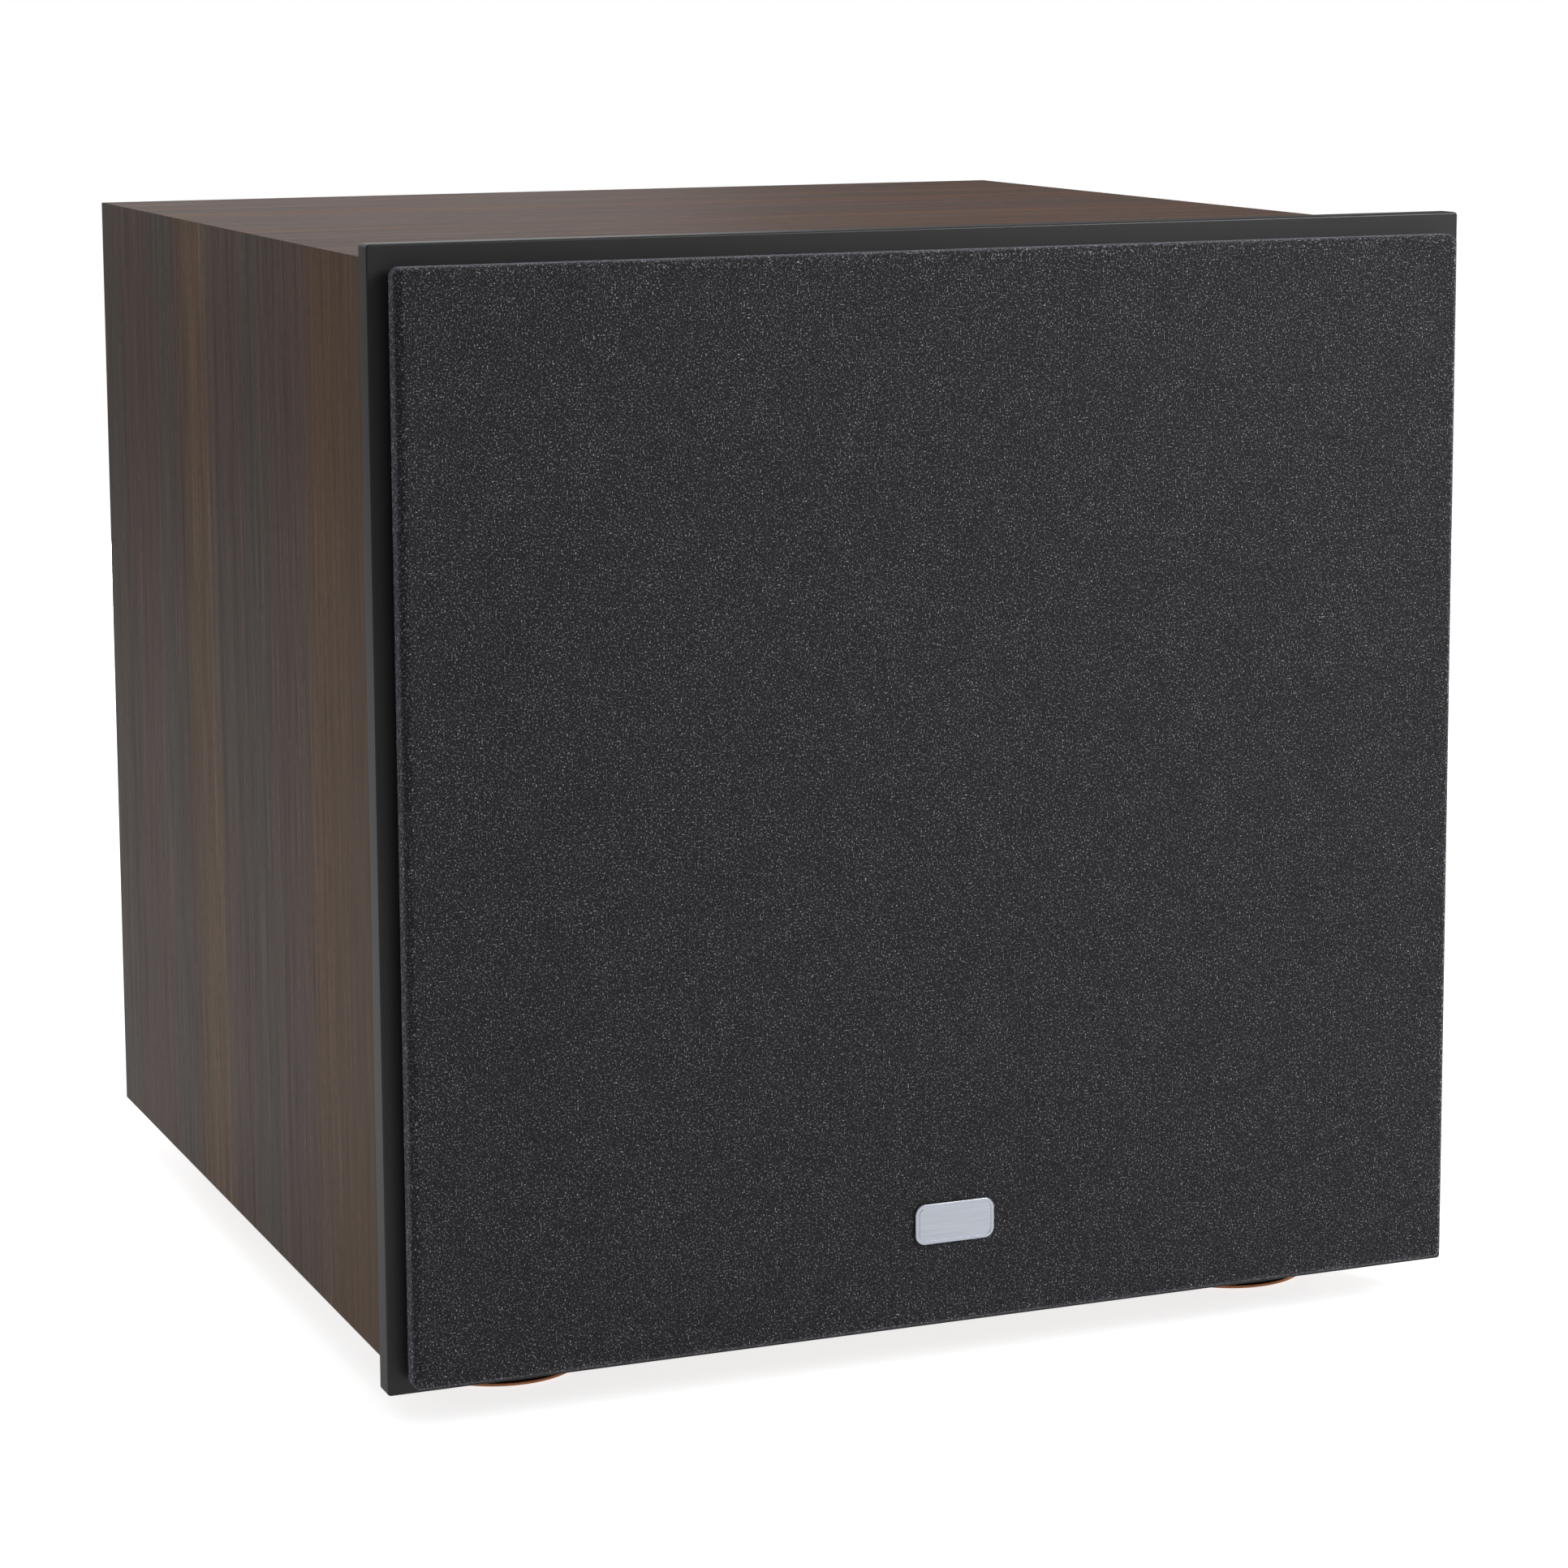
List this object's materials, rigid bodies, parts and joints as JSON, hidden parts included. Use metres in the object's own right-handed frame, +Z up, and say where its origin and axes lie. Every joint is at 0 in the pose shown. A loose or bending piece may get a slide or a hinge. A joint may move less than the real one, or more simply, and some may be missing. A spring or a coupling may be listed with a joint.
{
  "type": "subwoofer",
  "caption": "Powered home subwoofer: dark wood-grain box, overhanging black front slab, pull-off cloth grille, driver, rear port, plate amplifier.",
  "frame": {"origin": "on the floor under the middle of the bounding box", "axes": "+Z up, -Y the front with the grille, +X to the right of someone facing the front"},
  "size_m": [0.39, 0.4086, 0.385],
  "materials": {
    "wood": "dark wood-grain wrap, satin",
    "board": "bare fibreboard",
    "black_slab": "smooth black wrap on fibreboard",
    "black_plastic": "matte",
    "cloth": "charcoal speckled knit",
    "silver": "brushed",
    "rubber": "matte",
    "paper": "pressed pulp, matte",
    "linen": "stiffened weave",
    "black_steel": "satin black",
    "zinc": "zinc plated",
    "ferrite": "matte ceramic",
    "polyimide": "satin amber film",
    "copper": "satin copper",
    "board_green": "coated laminate",
    "aluminium": "raw",
    "sleeve": "shrink sleeve",
    "gold": "gold plated",
    "lamp": "tinted clear"
  },
  "bodies": {
    "enclosure": {"left_panel": "wood", "right_panel": "wood", "top_panel": "wood", "bottom_panel": "wood", "back_panel": "wood", "inner_baffle": "board", "window_brace": "board", "front_baffle": "black_slab", "driver_basket": "black_steel", "driver_gasket": "rubber", "surround": "rubber", "spider": "linen", "top_plate": "zinc", "magnet": "ferrite", "yoke": "zinc", "terminal_strip": "black_plastic", "speaker_lead": "black_plastic", "port_flare": "black_plastic", "port_tube": "black_plastic", "amp_plate": "black_steel", "circuit_board": "board_green", "transformer": "copper", "heatsink": "aluminium", "capacitor": "sleeve", "mains_inlet": "black_plastic", "line_in_jack_left": "gold", "line_in_jack_right": "gold", "status_lamp": "lamp", "peg_socket_top_left": "rubber", "peg_socket_top_right": "rubber", "peg_socket_bottom_left": "rubber", "peg_socket_bottom_right": "rubber", "driver_screw_1": "black_steel", "driver_screw_2": "black_steel", "driver_screw_3": "black_steel", "driver_screw_4": "black_steel", "foot_front_left": "rubber", "foot_ring_front_left": "copper", "foot_front_right": "rubber", "foot_ring_front_right": "copper", "foot_rear_left": "rubber", "foot_ring_rear_left": "copper", "foot_rear_right": "rubber", "foot_ring_rear_right": "copper"},
    "grille": {"grille_frame": "black_plastic", "grille_cloth": "cloth", "badge": "silver", "grille_peg_top_left": "black_plastic", "grille_peg_top_right": "black_plastic", "grille_peg_bottom_left": "black_plastic", "grille_peg_bottom_right": "black_plastic"},
    "driver_motion": {"cone": "paper", "dust_cap": "paper", "voice_coil_former": "polyimide", "voice_coil": "copper"},
    "volume_control": {"volume_knob": "black_plastic"},
    "crossover_control": {"crossover_knob": "black_plastic"},
    "phase_control": {"phase_switch": "black_plastic"},
    "auto_on_control": {"auto_on_switch": "black_plastic"},
    "power_control": {"power_rocker": "black_plastic"}
  },
  "joints": [
    {"name": "grille_pull", "type": "slide", "parent": "enclosure", "child": "grille", "axis": [0, -1, 0], "range_m": [0, 0.08]},
    {"name": "cone_travel", "type": "slide", "parent": "enclosure", "child": "driver_motion", "axis": [0, -1, 0], "range_m": [-0.008, 0.008], "stiffness_N_per_m": 2500, "deforming": ["surround", "spider"]},
    {"name": "volume_turn", "type": "hinge", "parent": "enclosure", "child": "volume_control", "pos_m": [0.082, 0.1938, 0.195], "axis": [0, 1, 0], "range_deg": [-150, 150]},
    {"name": "crossover_turn", "type": "hinge", "parent": "enclosure", "child": "crossover_control", "pos_m": [0.044, 0.1938, 0.195], "axis": [0, 1, 0], "range_deg": [-150, 150]},
    {"name": "phase_slide", "type": "slide", "parent": "enclosure", "child": "phase_control", "axis": [1, 0, 0], "range_m": [0, 0.004]},
    {"name": "auto_on_slide", "type": "slide", "parent": "enclosure", "child": "auto_on_control", "axis": [1, 0, 0], "range_m": [0, 0.004]},
    {"name": "power_rock", "type": "hinge", "parent": "enclosure", "child": "power_control", "pos_m": [-0.08, 0.1928, 0.14], "axis": [1, 0, 0], "range_deg": [-14, 0]}
  ]
}
